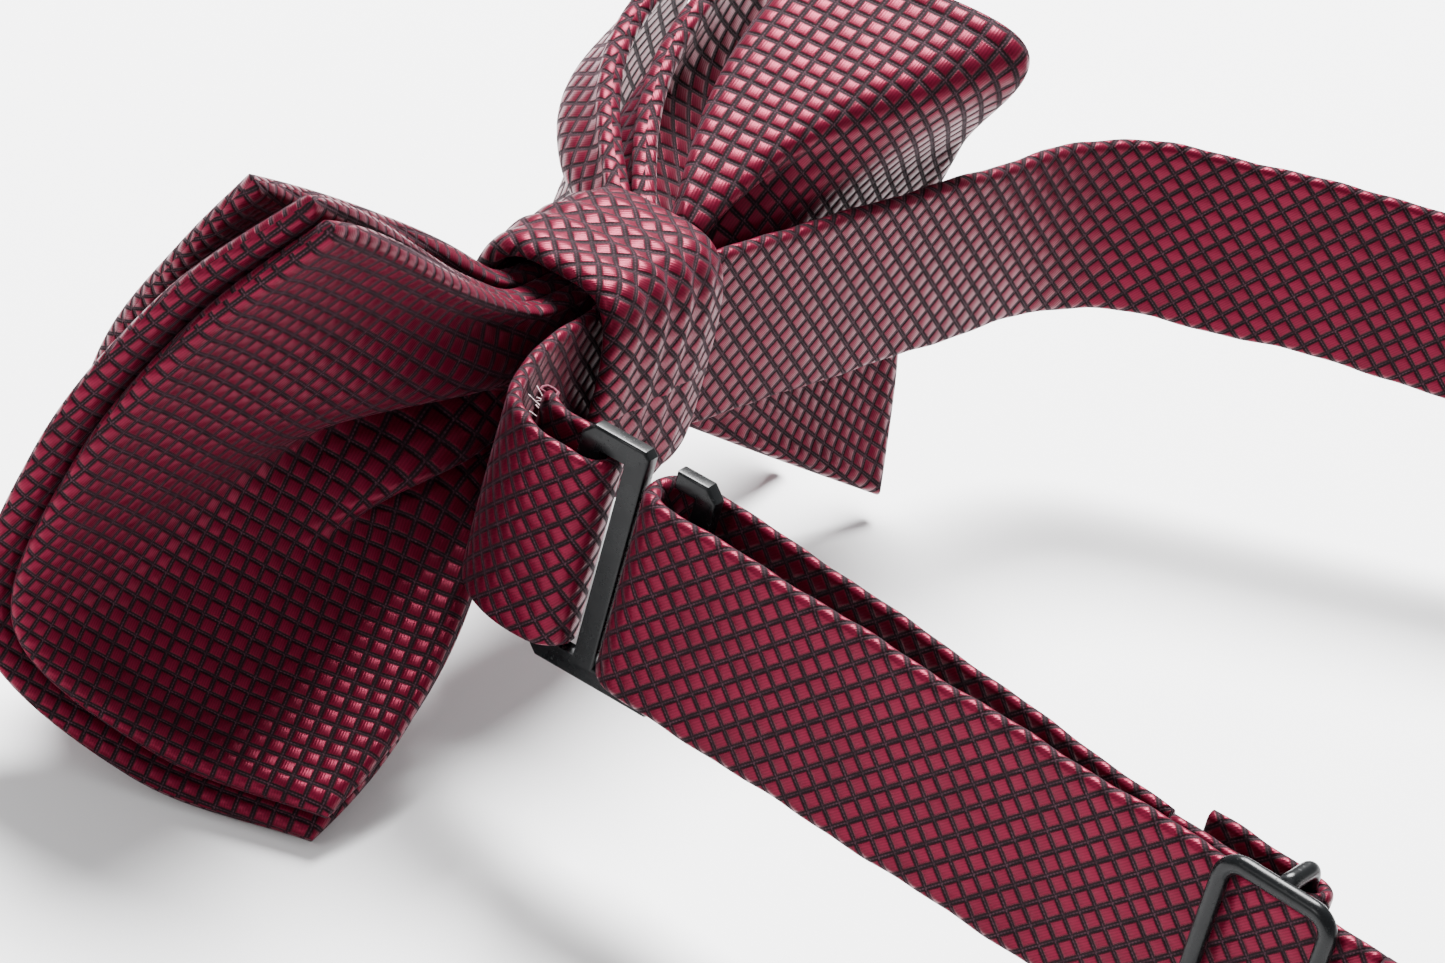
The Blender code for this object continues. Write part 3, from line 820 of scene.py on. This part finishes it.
def make_tab():
    bar = (CLASP_X, sum(TAB_BAR_Y) / 2)
    out = [
        (1.2, BAND_KNOT_Y, BAND_HEIGHT), (11.0, 4.7, BAND_HEIGHT), (20.0, 6.2, BAND_HEIGHT),
        (26.2, 8.8, BAND_HEIGHT), (CLASP_X + TAB_LOOP_R - 0.4, 13.2, BAND_HEIGHT),
    ]
    turn = arc(bar, TAB_LOOP_R, 0, 180, 16)
    back = [(CLASP_X - TAB_LOOP_R - 0.1, 13.8, BAND_HEIGHT), (23.0, 10.4, BAND_HEIGHT)]
    path = np.concatenate([
        spline([*out, tuple(turn[0])], 0.8), turn[1:], spline([tuple(turn[-1]), *back], 0.8)[1:]
    ])
    tab = ribbon("clasp_tab_cloth", path, CLOTH, thick=TAB_THICK, start=1.7, wave=0.12)
    dress(tab, "bow", "wine_cloth", "clasp_tab")
    fray(path)


def fray(path):
    """Loose thread ends along the tab's raw end, tucked behind it."""
    rng = np.random.default_rng(7)
    tip, before = path[-1], path[-4]
    out = (tip - before) / np.linalg.norm(tip - before)
    side = np.array([out[1], -out[0], 0.0])
    hairs = []
    for i in range(70):
        height = rng.uniform(-BAND_WIDTH / 2 + 0.4, BAND_WIDTH / 2 - 0.4)
        root = tip + np.array([0, 0, height]) + side * rng.uniform(-0.45, 0.45) - out * 0.3
        reach = rng.uniform(0.7, 1.9)
        lean = side * rng.normal(0, 0.35) + np.array([0, 0, rng.normal(0, 0.35)])
        curl = side * rng.normal(0, 0.25) + np.array([0, 0, rng.normal(0, 0.3)])
        line = [root + (out + lean) * reach * q + curl * q * q for q in np.linspace(0, 1, 6)]
        hairs.append(tube(f"hair_{i}", line, 0.055, RAW_LOOK, sides=5))
    piece = join(hairs, "tab_raw_threads")
    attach(piece, "bow")


def make_strap():
    centre = (CLASP_X, STRAP_LOOP_Y)
    lean = STRAP_LEAN - 90
    turn = arc(centre, STRAP_LOOP_R, 188 + lean, 360 + lean, 22)
    end, _, _ = strap_frame(STRAP_FRONT_LENGTH)
    straight = turn[-1] + (end - turn[-1]) * np.linspace(0, 1, 72)[1:, None]
    path = np.concatenate([turn, straight])
    outer = ribbon("strap_outer_cloth", path, CLOTH, start=-1.2)
    dress(outer, "strap", "wine_cloth", "strap_outer")
    lining = ribbon("strap_outer_canvas", path[1:-1], CANVAS_LOOK, BAND_WIDTH - 2.0, 0.35, inner=6)
    dress(lining, "strap", "interlining", "strap_outer_interlining")

    place, along, across = strap_frame(SLIDER_AT)
    inner_start = arc(centre, STRAP_LOOP_R, 182.4 + lean, 180 + lean, 1)[0] - across * 0.15
    near_bar = place - across * (CENTRE_BAR_BACK - END_LOOP_R)
    inner_end = near_bar - along * (END_TAIL + 2.0)
    halfway = inner_start + (inner_end - inner_start) * 0.5 - across * 0.6
    path = spline([tuple(inner_start), tuple(halfway), tuple(inner_end)], 0.9)
    inner = ribbon("strap_inner_cloth", path, CLOTH, thick=1.15, start=8.3, wave=0.07)
    dress(inner, "strap", "wine_cloth", "strap_inner")
    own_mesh(inner)

    bar = place - across * CENTRE_BAR_BACK
    turns = np.linspace(0, pi, 17)
    loop = bar + END_LOOP_R * (
        np.cos(turns)[:, None] * across + np.sin(turns)[:, None] * along
    )
    tail_end = bar - across * END_LOOP_R - along * END_TAIL
    near_end = near_bar - along * (END_TAIL + 1.75)
    run_in = near_end + (loop[0] - near_end) * np.linspace(0, 1, 14)[:-1, None]
    run_out = loop[-1] + (tail_end - loop[-1]) * np.linspace(0, 1, 13)[1:, None]
    path = np.concatenate([run_in, loop, run_out])
    sewn = ribbon("strap_sewn_end_cloth", path, CLOTH, BAND_WIDTH - 0.4, END_THICK, start=4.4,
                  wave=0.12)
    dress(sewn, "slider", "wine_cloth", "strap_sewn_end")


# ---------------------------------------------------------------- metal and stitches


def make_clasp():
    """The hook clasp: a stamped frame with soft edges, glossy black."""
    low, high = CLASP_Z
    left, right = TAB_BAR_Y[0], STRAP_BAR_Y[1]
    c = CLASP_CORNER
    outer = [
        (left + c, low), (right - c, low), (right, low + c), (right, high - c),
        (right - c, high), (HOOK_TIP_Y, high), (HOOK_TIP_Y, high - CLASP_SIDE),
        (STRAP_BAR_Y[0], high - CLASP_SIDE), (STRAP_BAR_Y[0], low + CLASP_SIDE),
        (CENTRE_BAR_Y[1], low + CLASP_SIDE), (CENTRE_BAR_Y[1], high - c / 2),
        (CENTRE_BAR_Y[1] - c / 2, high), (left + c, high), (left, high - c), (left, low + c),
    ]
    window = [
        (TAB_BAR_Y[1], low + CLASP_SIDE), (TAB_BAR_Y[1], high - CLASP_SIDE),
        (CENTRE_BAR_Y[0], high - CLASP_SIDE), (CENTRE_BAR_Y[0], low + CLASP_SIDE),
    ]
    curve = bpy.data.curves.new("clasp_outline", "CURVE")
    curve.dimensions = "2D"
    curve.fill_mode = "BOTH"
    curve.extrude = CLASP_THICK / 2 - CLASP_ROUND
    curve.bevel_depth = CLASP_ROUND
    curve.bevel_resolution = 3
    curve.offset = -CLASP_ROUND
    for corners in (outer, window):
        outline = curve.splines.new("POLY")
        outline.points.add(len(corners) - 1)
        for point, (y, z) in zip(outline.points, corners):
            point.co = (y, z, 0.0, 1.0)
        outline.use_cyclic_u = True
    holder = bpy.data.objects.new("clasp_flat", curve)
    bpy.context.scene.collection.objects.link(holder)
    graph = bpy.context.evaluated_depsgraph_get()
    mesh = bpy.data.meshes.new_from_object(holder.evaluated_get(graph))
    bpy.data.objects.remove(holder)
    shape = bmesh.new()
    shape.from_mesh(mesh)
    bmesh.ops.remove_doubles(shape, verts=shape.verts, dist=0.005)
    for vertex in shape.verts:
        y, z, x = vertex.co
        vertex.co = Vector((CLASP_X + x, y, z)) * MM + ORIGIN
    bmesh.ops.recalc_face_normals(shape, faces=shape.faces)
    shape.to_mesh(mesh)
    shape.free()
    mesh.materials.clear()
    mesh.materials.append(ENAMEL_LOOK)
    mesh.shade_smooth()
    mesh.set_sharp_from_angle(angle=radians(35))
    piece = bpy.data.objects.new("hook_clasp_frame", mesh)
    bpy.context.scene.collection.objects.link(piece)
    dress(piece, "clasp", "black_metal", "hook_clasp")


def make_slider():
    """The wire slider, its centre bar stepped back on short legs."""
    place, along, across = strap_frame(SLIDER_AT)
    up = np.array([0, 0, 1.0])
    front = BAND_THICK / 2 + GAP + SLIDER_WIRE_R
    half = SLIDER_HEIGHT / 2 - SLIDER_WIRE_R
    length = SLIDER_LENGTH - 2 * SLIDER_WIRE_R
    corner = 2.0
    loop = []
    for a, b, turn in ((1, 1, 0), (-1, 1, 90), (-1, -1, 180), (1, -1, 270)):
        centre = (a * (length / 2 - corner), b * (half - corner))
        for i in range(13):
            angle = radians(turn + 90 * i / 12)
            loop.append(
                place + along * (centre[0] + corner * cos(angle)) + across * front
                + up * (centre[1] + corner * sin(angle))
            )
    ring = tube("slider_ring", loop, SLIDER_WIRE_R, ENAMEL_LOOK, closed=True, sides=20)
    route = [(front, half), (0.0, half)]
    route += [
        (-CENTRE_BAR_BACK + 1.2 * (1 - sin(q)), half - 1.2 * (1 - cos(q)))
        for q in np.radians(np.linspace(0, 90, 8))
    ]
    route += [(o, -h) for o, h in reversed(route)]
    bar = tube(
        "slider_bar", [place + across * o + up * h for o, h in route], SLIDER_WIRE_R,
        ENAMEL_LOOK, sides=20,
    )
    piece = join([ring, bar], "slider_wire")
    dress(piece, "slider", "black_metal", "slider")


def bartack(node, body, turns, thread=0.17):
    """Close turns of thread round a core, where the CAD has a plain block."""
    low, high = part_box(node)
    centre = (np.array((low + high) / 2) - np.array(ORIGIN)) / MM
    size = np.array(high - low) / MM
    hx, hy = size[0] / 2 - thread, size[1] / 2 - thread
    path = []
    for i in range(turns * 8 + 1):
        angle = 2 * pi * i / 8
        power = 0.55
        c, s = cos(angle), sin(angle)
        path.append(centre + np.array([
            hx * abs(c) ** power * (1 if c >= 0 else -1),
            hy * abs(s) ** power * (1 if s >= 0 else -1),
            (i / (turns * 8) - 0.5) * (size[2] - 2 * thread),
        ]))
    piece = tube(node + "_thread", path, thread, THREAD_LOOK, sides=8)
    dress(piece, body, "thread", node)


def make_stitches():
    bartack("tab_bartack_1", "bow", 15)
    bartack("tab_bartack_2", "bow", 15)
    bartack("strap_bartack", "slider", 38)
    bartack("knot_rear_seam", "bow", 6)
    bartack("band_anchor_seam", "bow", 34)


# ---------------------------------------------------------------- stage, light and camera

CAMERA_AZIMUTH = 25.8  # from +X towards +Y
CAMERA_HEIGHT = 29.8
CAMERA_ROLL = 15.8  # the tie's up leans to the right in the picture
CAMERA_DISTANCE = 535.0
CAMERA_TARGET = (7.6, 22.0, 28.0)
CAMERA_LENS = 145.3


def make_stage():
    mesh = bpy.data.meshes.new("floor")
    floor = bmesh.new()
    bmesh.ops.create_grid(floor, x_segments=8, y_segments=8, size=4.0)
    floor.to_mesh(mesh)
    floor.free()
    look = Nodes("white_table").finish(Base_Color=TABLE_WHITE, Roughness=0.6)
    mesh.materials.append(look)
    piece = bpy.data.objects.new("floor", mesh)
    bpy.context.scene.collection.objects.link(piece)
    piece.location.z = CAD_BOX[0][2] - 0.0002


def area_light(name, azimuth, height, distance, size, power):
    light = bpy.data.lights.new(name, "AREA")
    light.shape = "DISK"
    light.size = size
    light.energy = power
    lamp = bpy.data.objects.new(name, light)
    bpy.context.scene.collection.objects.link(lamp)
    a, h = radians(azimuth), radians(height)
    target = ORIGIN + Vector(CAMERA_TARGET) * MM
    towards = Vector((cos(a) * cos(h), sin(a) * cos(h), sin(h)))
    lamp.location = target + towards * distance
    lamp.rotation_euler = towards.to_track_quat("Z", "Y").to_euler()


def make_light():
    world = bpy.data.worlds.new("white_room")
    bpy.context.scene.world = world
    world.use_nodes = True
    background = world.node_tree.nodes["Background"]
    background.inputs["Color"].default_value = (1.0, 1.0, 1.0, 1.0)
    background.inputs["Strength"].default_value = 0.7
    area_light("window", 212, 58, 1.3, 0.7, 115.0)
    area_light("low_fill", 350, 30, 1.1, 0.3, 3.0)


def make_camera():
    camera = bpy.data.cameras.new("camera")
    camera.lens = CAMERA_LENS
    camera.sensor_width = 36.0
    camera.clip_start = 0.01
    eye = bpy.data.objects.new("camera", camera)
    bpy.context.scene.collection.objects.link(eye)
    a, h = radians(CAMERA_AZIMUTH), radians(CAMERA_HEIGHT)
    towards = Vector((cos(a) * cos(h), sin(a) * cos(h), sin(h)))
    eye.location = ORIGIN + (Vector(CAMERA_TARGET) + towards * CAMERA_DISTANCE) * MM
    turn = towards.to_track_quat("Z", "Y").to_matrix()
    eye.rotation_euler = (turn @ Matrix.Rotation(radians(CAMERA_ROLL), 3, "Z")).to_euler()
    bpy.context.scene.camera = eye


make_camera()
for side in (1, -1):
    for layer in LAYER_KNOT_Y:
        make_leaf(side, layer)
make_knot()
make_tab()
make_strap()
make_neckband()
make_clasp()
make_slider()
make_stitches()
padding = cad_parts["knot_padding"]
padding.data.materials.clear()
padding.data.materials.append(CANVAS_LOOK)
make_stage()
make_light()
